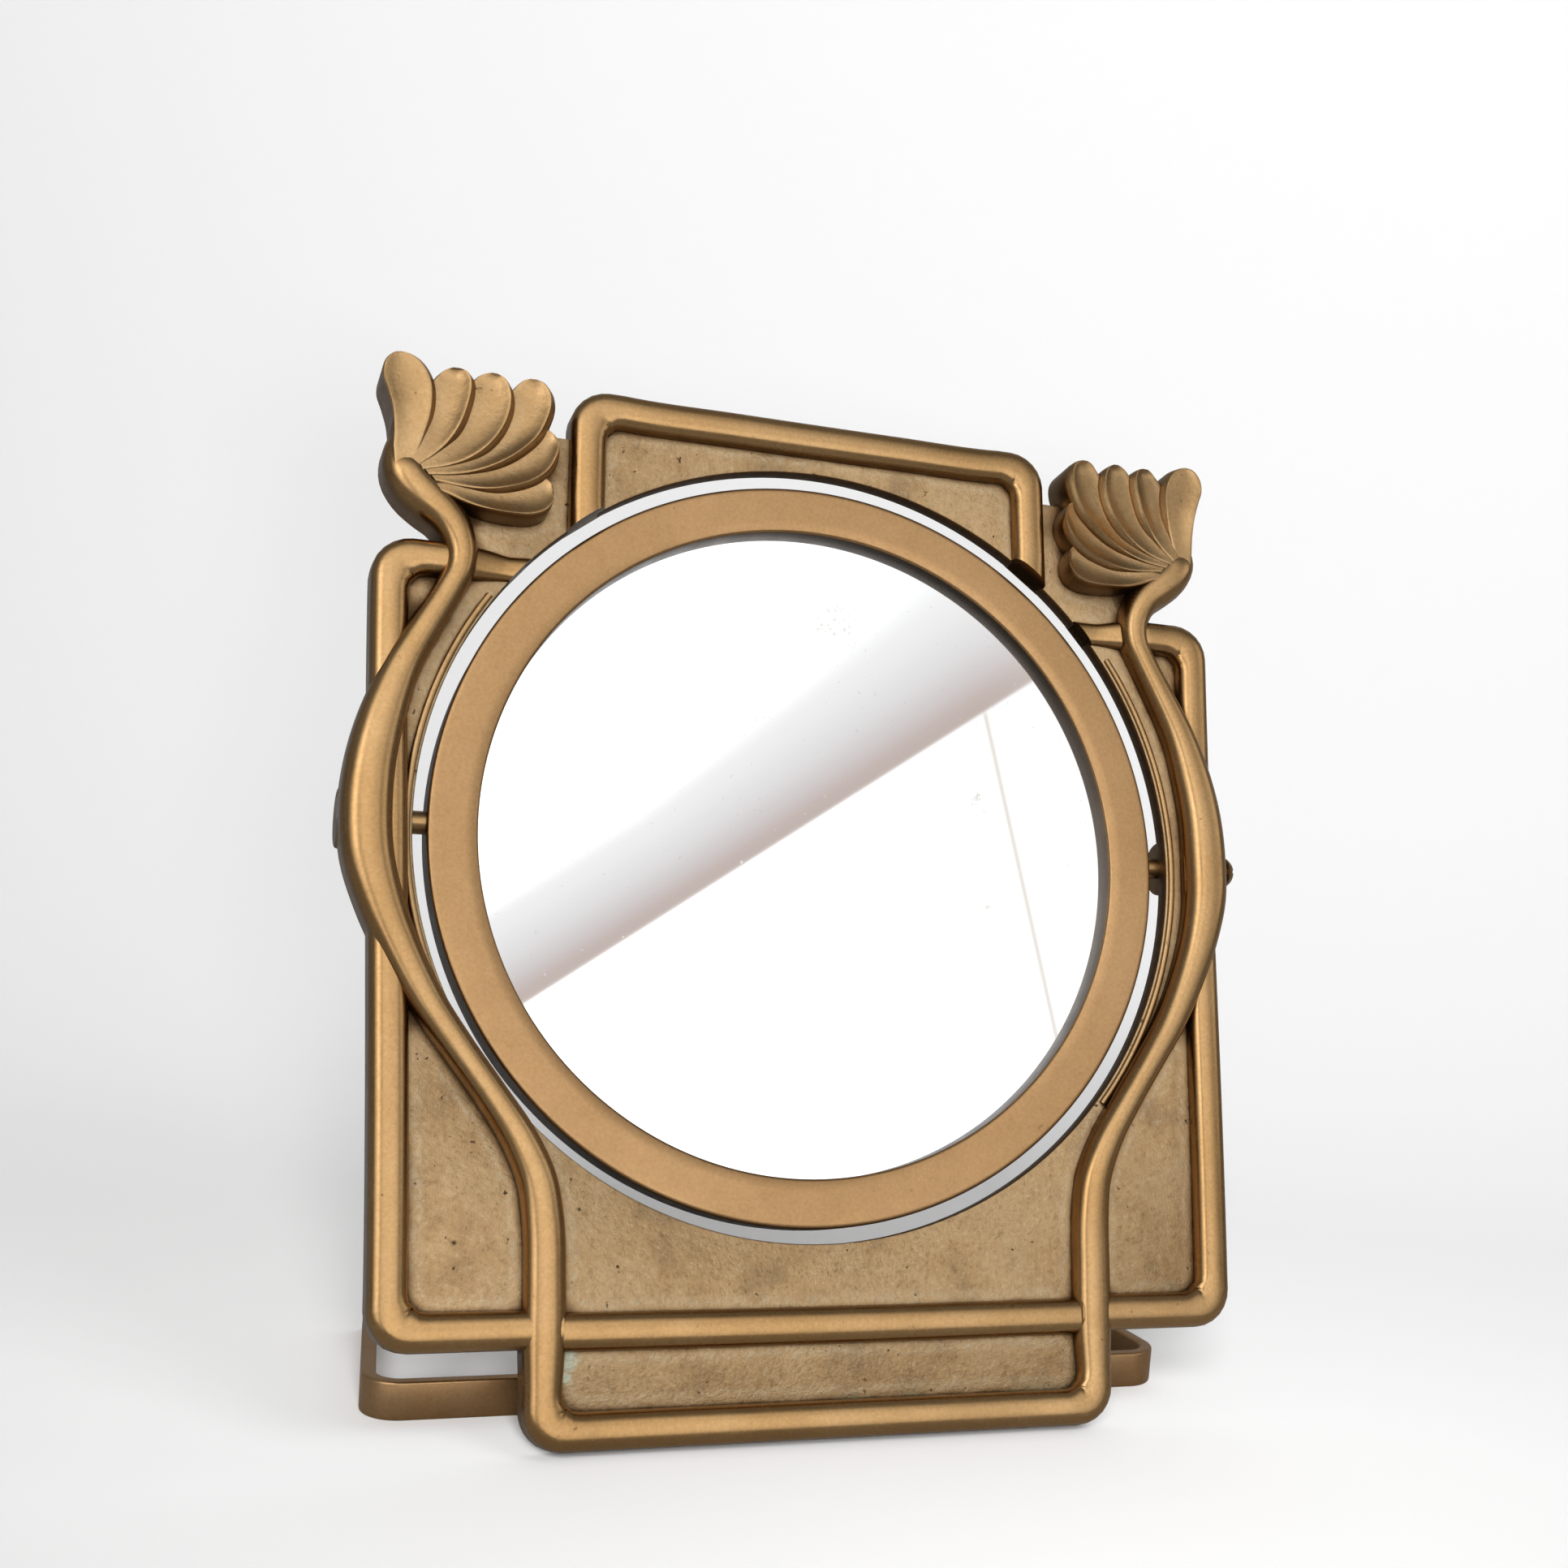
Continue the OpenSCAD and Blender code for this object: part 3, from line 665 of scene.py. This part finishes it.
def patina_group():
    """Old lacquered brass: tone drift, pores, dark creases, side walls darkened partly as patina
    and partly as painted shade, and on rough cast skin a greyer colour with a pale lining beside
    the ribs."""
    color, value = "NodeSocketColor", "NodeSocketFloat"
    tree, net, gi, go = new_group(
        "brass_patina",
        [("Metal", color, (0.7, 0.45, 0.2, 1)), ("Worn", color, (0.8, 0.55, 0.28, 1)),
         ("Skin", color, (0.5, 0.4, 0.25, 1)), ("Dirt", color, (0.1, 0.05, 0.02, 1)),
         ("Cast", value, 0.0), ("Dirt Amount", value, 1.0),
         ("Dirt Reach", value, 0.005), ("Wall Patina And Shade", value, 1.0),
         ("Speck Amount", value, 0.5), ("Gloss", value, 0.32)],
        [("Color", color), ("Roughness", value), ("Height", value)],
    )
    feed = gi.outputs
    where = net.add("ShaderNodeTexCoord").outputs["Object"]
    upright = net.add("ShaderNodeMapping", {"Vector": where, "Scale": (1, 1, 0.12)},
                      vector_type="POINT").outputs["Vector"]
    drift = net.noise(where, 26, 4, 0.6)
    tone = net.span(drift, 0.35, 0.68)
    fine = net.noise(where, 1250, 5, 0.7)
    grain = net.noise(where, 620, 6, 0.75)
    brushed = net.noise(upright, 900, 3, 0.6)
    blotch = net.noise(where, 170, 5, 0.65)
    patch = net.noise(where, 55, 4, 0.62)
    hollow = net.add("ShaderNodeAmbientOcclusion", {"Distance": feed["Dirt Reach"]},
                     samples=8, only_local=True).outputs["AO"]
    ragged = net.math("ADD", hollow, net.span(blotch, 0.3, 0.7, -0.07, 0.07, "LINEAR"))
    crease = net.span(ragged, 0.70, 0.42)
    crease = net.math("MULTIPLY", crease, feed["Dirt Amount"], clamp=True)
    lining = net.math("MULTIPLY", net.span(ragged, 0.95, 0.86), net.span(ragged, 0.72, 0.80))
    lining = net.math("MULTIPLY", lining, net.span(grain, 0.42, 0.58))
    lining = net.math("MULTIPLY", lining, feed["Cast"])
    facing = net.add("ShaderNodeVectorMath",
                     {0: net.add("ShaderNodeNewGeometry").outputs["Normal"],
                      1: tuple(PLATE_NORMAL)}, operation="DOT_PRODUCT").outputs["Value"]
    # Walls turned away from the plate's face: partly darker patina, partly painted shade.
    wall = net.math("MULTIPLY", net.span(facing, 0.50, 0.04), feed["Wall Patina And Shade"])
    pores = net.span(net.noise(where, 560, 3, 0.55), 0.66, 0.74)
    pores = net.math("MULTIPLY", pores, net.span(blotch, 0.50, 0.64))
    pores = net.math("MULTIPLY", pores, feed["Speck Amount"])
    body = net.mix(tone, feed["Metal"], feed["Worn"])
    skin = net.mix(net.span(patch, 0.35, 0.68, 0.0, 0.6), feed["Skin"], feed["Metal"])
    body = net.mix(net.math("MULTIPLY", feed["Cast"], 0.9), body, skin)
    grey = net.math("MULTIPLY", net.span(patch, 0.50, 0.70, 0.0, 0.55), feed["Cast"])
    body = net.mix(grey, body, (0.27, 0.20, 0.12, 1))
    body = net.mix(net.span(fine, 0.3, 0.72, 0.0, 0.30, "LINEAR"), body, feed["Metal"],
                   "MULTIPLY")
    streak = net.math("MULTIPLY", net.span(brushed, 0.45, 0.75, 0.0, 0.16), feed["Cast"])
    body = net.mix(streak, body, feed["Dirt"])
    sand = net.math("MULTIPLY", net.span(grain, 0.52, 0.68, 0.0, 0.34), feed["Cast"])
    body = net.mix(sand, body, feed["Dirt"])
    bare = net.math("MULTIPLY", net.span(grain, 0.46, 0.34, 0.0, 0.34), feed["Cast"])
    body = net.mix(bare, body, (0.58, 0.47, 0.31, 1))
    body = net.mix(net.math("MULTIPLY", lining, 0.6), body, (0.60, 0.50, 0.34, 1))
    # Painted shade, with some patina, laid on the side walls in the dirt colour.
    body = net.mix(net.math("MULTIPLY", wall, 0.66), body, feed["Dirt"])
    body = net.mix(net.math("MAXIMUM", net.math("MULTIPLY", crease, 0.88), pores), body,
                   feed["Dirt"])
    green = net.math("MULTIPLY", net.span(ragged, 0.80, 0.55), net.span(drift, 0.60, 0.70))
    green = net.math("MULTIPLY", green, net.span(fine, 0.40, 0.60))
    green = net.math("MULTIPLY", green, feed["Cast"])
    body = net.mix(net.math("MULTIPLY", green, 0.8), body, (0.30, 0.32, 0.20, 1))
    rough = net.math("ADD", feed["Gloss"],
                     net.span(blotch, 0.3, 0.7, -0.04, 0.06, "LINEAR"))
    rough = net.math("ADD", rough, net.math("MULTIPLY", crease, 0.22))
    rough = net.math("ADD", rough, net.math("MULTIPLY", feed["Cast"], 0.14))
    height = net.math("ADD", net.math("MULTIPLY", fine, 0.35),
                      net.math("MULTIPLY", grain, 0.7))
    height = net.math("SUBTRACT", height, net.math("MULTIPLY", pores, 1.2))
    net.feed(go.inputs["Color"], body)
    net.feed(go.inputs["Roughness"], rough)
    net.feed(go.inputs["Height"], height)
    return tree


PATINA = patina_group()


def spot(net, at, reach, scale):
    """A ragged spot round a point of the plate, in plate millimetres."""
    where = net.add("ShaderNodeTexCoord").outputs["Object"]
    away = net.add("ShaderNodeVectorMath", {0: where, 1: tuple(PLATE @ Vector(at))},
                   operation="DISTANCE").outputs["Value"]
    edge = net.math("MULTIPLY", net.noise(where, scale, 4, 0.7), 1.6)
    return net.span(net.math("ADD", net.math("DIVIDE", away, reach * MM), edge), 1.55, 0.95)


def brass(name, metal, worn, dirt_and_shade, bump, settings, by_cast=False, spots=()):
    """A brass with the old patina. by_cast makes the plate's cast skin rougher
    than the ribs. Each spot has x, y, reach and colour."""
    mat = bpy.data.materials.new(name)
    mat.use_nodes = True
    tree = mat.node_tree
    tree.nodes.clear()
    net = Net(tree)
    patina = net.add("ShaderNodeGroup", node_tree=PATINA)
    for key, value in {"Metal": metal, "Worn": worn, "Dirt": dirt_and_shade, **settings}.items():
        net.feed(patina.inputs[key], value)
    height = net.math("MULTIPLY", patina.outputs["Height"], bump)
    if by_cast:
        cast = net.add("ShaderNodeAttribute", attribute_name="rough_cast").outputs["Fac"]
        net.feed(patina.inputs["Cast"], cast)
        height = net.math("MULTIPLY", height, net.span(cast, 0, 1, 0.05, 1.0, "LINEAR"))
    lift = net.add("ShaderNodeBump", {"Height": height, "Distance": 0.0005, "Strength": 1.0})
    color = patina.outputs["Color"]
    for x, y, reach, tint in spots:
        color = net.mix(spot(net, (x, y, 0), reach, 420), color, tint)
    shader = net.add("ShaderNodeBsdfPrincipled",
                     {"Base Color": color, "Metallic": 1.0,
                      "Roughness": patina.outputs["Roughness"],
                      "Normal": lift.outputs["Normal"]})
    out = net.add("ShaderNodeOutputMaterial")
    net.feed(out.inputs["Surface"], shader.outputs[0])
    return mat


# Where the silvering is foxed: plate millimetres and reach.
FOXING = [
    (6.9, 56.3, 14), (42.3, 13.3, 7), (44.7, -12.2, 3), (39.8, -45.8, 3), (-15.0, -68.5, 9),
]


def silvered_glass():
    """Old silvering: bright, with clusters of small brown specks towards the rim."""
    mat = bpy.data.materials.new("silvered_glass")
    mat.use_nodes = True
    tree = mat.node_tree
    tree.nodes.clear()
    net = Net(tree)
    where = net.add("ShaderNodeTexCoord").outputs["Object"]
    cluster = 0.0
    for x, y, reach in FOXING:
        cluster = net.math("MAXIMUM", cluster, spot(net, (x, y, GLASS_Z), reach, 50))
    specks = net.span(net.noise(where, 850, 3, 0.65), 0.55, 0.61)
    strays = net.math("MULTIPLY", net.span(net.noise(where, 900, 2, 0.5), 0.70, 0.74), 0.5)
    foxing = net.math("MAXIMUM", net.math("MULTIPLY", specks, cluster), strays)
    color = net.mix(net.math("MULTIPLY", foxing, 0.5), (0.93, 0.935, 0.94, 1),
                    (0.38, 0.33, 0.25, 1))
    dull = net.math("ADD", net.math("MULTIPLY", foxing, 0.1), 0.02)
    shader = net.add("ShaderNodeBsdfPrincipled",
                     {"Base Color": color, "Metallic": 1.0, "Roughness": dull})
    out = net.add("ShaderNodeOutputMaterial")
    net.feed(out.inputs["Surface"], shader.outputs[0])
    return mat


def plain(name, color, rough):
    """A matt material with a faint fleck."""
    mat = bpy.data.materials.new(name)
    mat.use_nodes = True
    tree = mat.node_tree
    tree.nodes.clear()
    net = Net(tree)
    where = net.add("ShaderNodeTexCoord").outputs["Object"]
    fleck = net.span(net.noise(where, 700, 4, 0.6), 0.3, 0.7, 0.8, 1.15, "LINEAR")
    flecks = net.add("ShaderNodeCombineColor", {0: fleck, 1: fleck, 2: fleck}).outputs[0]
    tint = net.mix(1.0, color, flecks, "MULTIPLY")
    shader = net.add("ShaderNodeBsdfPrincipled",
                     {"Base Color": tint, "Metallic": 0.0, "Roughness": rough})
    out = net.add("ShaderNodeOutputMaterial")
    net.feed(out.inputs["Surface"], shader.outputs[0])
    return mat


VERDIGRIS, OLIVE, BLACK = (0.50, 0.52, 0.40, 1), (0.42, 0.36, 0.08, 1), (0.05, 0.035, 0.02, 1)
# Where the casting is stained: plate millimetres, reach and colour.
TARNISH = [
    (-53.5, -111.0, 3.6, VERDIGRIS), (-54.5, -114.5, 2.2, VERDIGRIS),
    (-66.2, -103.8, 1.8, OLIVE), (-65.2, -106.2, 1.5, BLACK),
    (-46.8, -122.3, 1.6, BLACK), (-77.2, -87.6, 1.2, BLACK), (81.6, -106.4, 1.1, BLACK),
]
CAST = brass("cast_brass", (0.42, 0.255, 0.108, 1), (0.48, 0.305, 0.142, 1),
             (0.085, 0.043, 0.018, 1), 0.5,
             {"Skin": (0.50, 0.355, 0.195, 1), "Speck Amount": 0.8, "Gloss": 0.24,
              "Dirt Reach": 0.0035},
             by_cast=True, spots=TARNISH)
# The bezel's side walls, the inner one by the glass most, get a strong painted shade.
SATIN = brass("satin_brass", (0.43, 0.262, 0.122, 1), (0.47, 0.29, 0.14, 1),
              (0.035, 0.022, 0.012, 1), 0.02,
              {"Speck Amount": 0.3, "Gloss": 0.34, "Dirt Reach": 0.003,
               "Wall Patina And Shade": 1.5})
DULL = brass("dark_brass", (0.46, 0.27, 0.125, 1), (0.52, 0.34, 0.175, 1),
             (0.12, 0.065, 0.03, 1), 0.08,
             {"Speck Amount": 0.5, "Gloss": 0.36, "Wall Patina And Shade": 0.0})
TURNED = brass("screw_brass", (0.38, 0.24, 0.11, 1), (0.45, 0.30, 0.15, 1),
               (0.07, 0.04, 0.016, 1), 0.05,
               {"Speck Amount": 0.3, "Gloss": 0.3, "Dirt Reach": 0.001,
                "Wall Patina And Shade": 0.0})
GLASS = silvered_glass()
CARD = plain("backing_card", (0.18, 0.13, 0.09, 1), 0.9)

cast_frame(CAST)
bezel(SATIN)
strap(DULL)

CAD_LOOKS = {
    "mirror_glass": (GLASS, "silvered_glass"),
    "backing_card": (CARD, "card"),
    "back_cover": (DULL, "dark_brass"),
    "cover_screws": (TURNED, "screw_brass"),
    "pivot_screw_left": (TURNED, "screw_brass"),
    "pivot_screw_right": (TURNED, "screw_brass"),
    "strap_bracket_left": (DULL, "dark_brass"),
    "strap_bracket_right": (DULL, "dark_brass"),
    "bracket_screws": (TURNED, "screw_brass"),
    "strap_rivets": (TURNED, "screw_brass"),
}
for node, (look, slot) in CAD_LOOKS.items():
    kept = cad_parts[node]
    kept.data.materials.clear()
    kept.data.materials.append(look)


# Floor, room, lamps and camera.
def stage_object(name, bm, material):
    """A piece of the studio, which isn't part of the mirror."""
    mesh = bpy.data.meshes.new(name)
    bm.to_mesh(mesh)
    bm.free()
    mesh.materials.append(material)
    obj = bpy.data.objects.new(name, mesh)
    bpy.context.scene.collection.objects.link(obj)
    return obj


def sweep_floor():
    """A pale floor that curves up into a far wall."""
    bm = bmesh.new()
    line = [(-2.5, 0.0)] + arc(0.2, 0.6, 0.6, -90, 0, 24) + [(0.8, 3.5)]
    vs = [bm.verts.new((-4, y, z)) for y, z in line]
    es = [bm.edges.new(pair) for pair in zip(vs, vs[1:])]
    made = bmesh.ops.extrude_edge_only(bm, edges=es)
    moved = [v for v in made["geom"] if isinstance(v, bmesh.types.BMVert)]
    bmesh.ops.translate(bm, verts=moved, vec=(8, 0, 0))
    square_to_camera = Matrix.Rotation(math.radians(-22.6), 3, "Z")
    bmesh.ops.rotate(bm, verts=bm.verts, cent=(0, 0, 0), matrix=square_to_camera)
    for f in bm.faces:
        f.smooth = True
    bmesh.ops.recalc_face_normals(bm, faces=bm.faces)
    return stage_object("studio_floor", bm, floor_paint())


def area(name, place, aim, size, power):
    """A rectangular lamp aimed at a point."""
    light = bpy.data.lights.new(name, "AREA")
    light.shape = "RECTANGLE"
    light.size, light.size_y = size
    light.energy = power
    lamp = bpy.data.objects.new(name, light)
    bpy.context.scene.collection.objects.link(lamp)
    lamp.location = place
    lamp.rotation_euler = (Vector(aim) - Vector(place)).to_track_quat("-Z", "Y").to_euler()
    return lamp


# The room that the glass mirrors: a bright front, and a ceiling whose near edge
# shows as a slanting line with a soft shade above it.
FRONT = Vector((-0.28, -0.94, 0.20)).normalized()
CEILING_EDGE = Vector((-0.56591, 0.25489, 0.78408))
EDGE_RUN = Vector((0.772, 0.497, 0.396)).normalized()
WALL_SEAM = Vector((0.88131, 0.47005, 0.04834))
# Bright strips: a direction, the cosines of their outer and inner edge, and a gain.
ROOM_STRIPS = [
    ((0.78, -0.46, 0.43), 0.955, 0.988, 0.9),
    ((-0.60, -0.66, 0.45), 0.955, 0.988, 1.2),
]
# A dark upright strip in the room lies square to this direction.
DARK_STRIP_SIDE = Vector((0.93, -0.367, 0.0)).normalized()
UP = (0, 0, 1)
ROOM_SIDE, ROOM_FRONT, ROOM_DIFFUSE = 0.22, 2.00, 0.18


def room():
    """A soft room round the mirror, brightest in front of it."""
    world = bpy.data.worlds.new("studio_room")
    world.use_nodes = True
    world.cycles.sampling_method = "NONE"
    tree = world.node_tree
    tree.nodes.clear()
    net = Net(tree)
    way = net.add("ShaderNodeTexCoord").outputs["Generated"]

    def toward(v):
        return net.add("ShaderNodeVectorMath", {0: way, 1: tuple(v)},
                       operation="DOT_PRODUCT").outputs["Value"]

    def grey(value):
        return net.add("ShaderNodeCombineColor", {0: value, 1: value, 2: value}).outputs[0]

    front = toward(FRONT)
    light = net.span(front, 0.42, 0.97, ROOM_SIDE, ROOM_FRONT)
    for at, narrow, wide, gain in ROOM_STRIPS:
        strip = net.span(toward(Vector(at).normalized()), narrow, wide, 0.0, gain)
        light = net.math("ADD", light, strip)
    dark = net.span(net.math("ABSOLUTE", toward(DARK_STRIP_SIDE)), 0.20, 0.06)
    dark = net.math("MULTIPLY", dark, net.span(toward(UP), 0.62, 0.42))
    dark = net.math("MULTIPLY", dark, net.span(front, 0.50, 0.70))
    light = net.math("MULTIPLY", light, net.span(dark, 0, 1, 1.0, 0.45, "LINEAR"))
    glow = grey(light)
    above = toward(CEILING_EDGE)
    width = net.span(toward(EDGE_RUN), -0.05, 0.42, 0.050, 0.095, "LINEAR")
    part = net.math("DIVIDE", above, width)
    shade = net.add("ShaderNodeValToRGB", {"Fac": part})
    ramp = shade.color_ramp
    stops = [(0.0, (0.54, 0.445, 0.40)), (0.12, (0.60, 0.51, 0.48)),
             (0.25, (0.68, 0.63, 0.62)), (0.45, (0.80, 0.785, 0.785)),
             (0.70, (0.92, 0.905, 0.90)), (1.0, (1.0, 1.0, 1.0))]
    while len(ramp.elements) < len(stops):
        ramp.elements.new(0.5)
    for stop, (at, tone) in zip(ramp.elements, stops):
        stop.position = at
        stop.color = (*tone, 1)
    near = net.span(front, 0.60, 0.72)
    inside = net.math("MULTIPLY", net.span(above, -0.0012, 0.0006), net.span(part, 1.3, 0.8))
    tone = net.mix(net.math("MULTIPLY", inside, near), glow, shade.outputs["Color"])
    seam = net.math("ABSOLUTE", toward(WALL_SEAM))
    seam = net.math("MULTIPLY", net.span(seam, 0.0014, 0.0005), net.span(above, 0.0, -0.002))
    tone = net.mix(net.math("MULTIPLY", seam, near), tone, (0.76, 0.70, 0.61, 1))
    path = net.add("ShaderNodeLightPath").outputs
    seen = net.add("ShaderNodeBackground", {"Color": tone})
    soft = net.add("ShaderNodeBackground", {"Color": grey(ROOM_DIFFUSE)})
    pale = net.add("ShaderNodeBackground", {"Color": (0.88, 0.88, 0.88, 1)})
    both = net.add("ShaderNodeMixShader", {0: path["Is Diffuse Ray"], 1: seen.outputs[0],
                                           2: soft.outputs[0]})
    both = net.add("ShaderNodeMixShader", {0: path["Is Camera Ray"], 1: both.outputs[0],
                                           2: pale.outputs[0]})
    out = net.add("ShaderNodeOutputWorld")
    net.feed(out.inputs["Surface"], both.outputs[0])
    bpy.context.scene.world = world


PALE_PAINT, SEEN_IN_BRASS = (0.86, 0.86, 0.86, 1), (0.10, 0.09, 0.08, 1)


def floor_paint():
    """Matt pale paint, which brass and glass see darker than the eye does."""
    mat = bpy.data.materials.new("studio_floor")
    mat.use_nodes = True
    tree = mat.node_tree
    tree.nodes.clear()
    net = Net(tree)
    mirrored = net.add("ShaderNodeLightPath").outputs["Is Glossy Ray"]
    tint = net.mix(net.math("MULTIPLY", mirrored, 0.75), PALE_PAINT, SEEN_IN_BRASS)
    shader = net.add("ShaderNodeBsdfDiffuse", {"Color": tint})
    out = net.add("ShaderNodeOutputMaterial")
    net.feed(out.inputs["Surface"], shader.outputs[0])
    return mat


LENS_POWER, WIDE_POWER, KEY_POWER = 9, 69, 10
LENS_LAMP_AT, LENS_LAMP_AIM = Vector((-0.110, -0.441, 0.165)), Vector((0.35, 0.77, 0.40))


def lamp_by_lens():
    """A round lamp just right of the lens. It darkens the narrow gaps a little and
    lays a soft shadow to the left of the mirror."""
    light = bpy.data.lights.new("lens_lamp", "SPOT")
    light.energy = LENS_POWER
    light.spot_size = math.radians(100)
    light.spot_blend = 1.0
    light.shadow_soft_size = 0.035
    lamp = bpy.data.objects.new("lens_lamp", light)
    bpy.context.scene.collection.objects.link(lamp)
    lamp.location = LENS_LAMP_AT
    lamp.rotation_euler = (LENS_LAMP_AIM - LENS_LAMP_AT).to_track_quat("-Z", "Y").to_euler()
    lamp.visible_glossy = False


def studio():
    """The floor, the room and three lamps: one by the lens, a wide one over the
    camera, whose shadows fall out of sight, and a key lamp from the right."""
    sweep_floor()
    room()
    lamp_by_lens()
    for lamp in (
        area("over_camera", (-0.82, -2.42, 1.60), (0.0, 0.0, 0.08), (1.2, 0.7), WIDE_POWER),
        area("key_right", (1.0, -1.5, 1.75), (0.0, 0.0, 0.05), (1.0, 1.0), KEY_POWER),
    ):
        lamp.visible_glossy = False
        lamp.visible_camera = False
    bpy.context.scene.view_settings.view_transform = "Standard"


# The camera: its place in metres, its turn about X, Y and Z in degrees, its lens
# and its frame's shift, all fitted to the photograph.
CAMERA_AT = (-0.14169, -0.42801, 0.15529)
CAMERA_TURN = (88.1753, -5.1802, -22.4568)
CAMERA_LENS = 46.616
CAMERA_SHIFT = (-0.13147, 0.00207)


def photo_camera():
    """The camera at the photograph's viewing angle."""
    data = bpy.data.cameras.new("photo_camera")
    data.sensor_width = 36
    data.lens = CAMERA_LENS
    data.shift_x, data.shift_y = CAMERA_SHIFT
    data.clip_start, data.clip_end = 0.01, 20
    camera = bpy.data.objects.new("photo_camera", data)
    bpy.context.scene.collection.objects.link(camera)
    turn = Euler([math.radians(angle) for angle in CAMERA_TURN])
    camera.matrix_world = Matrix.Translation(CAMERA_AT) @ turn.to_matrix().to_4x4()
    bpy.context.scene.camera = camera


studio()
photo_camera()
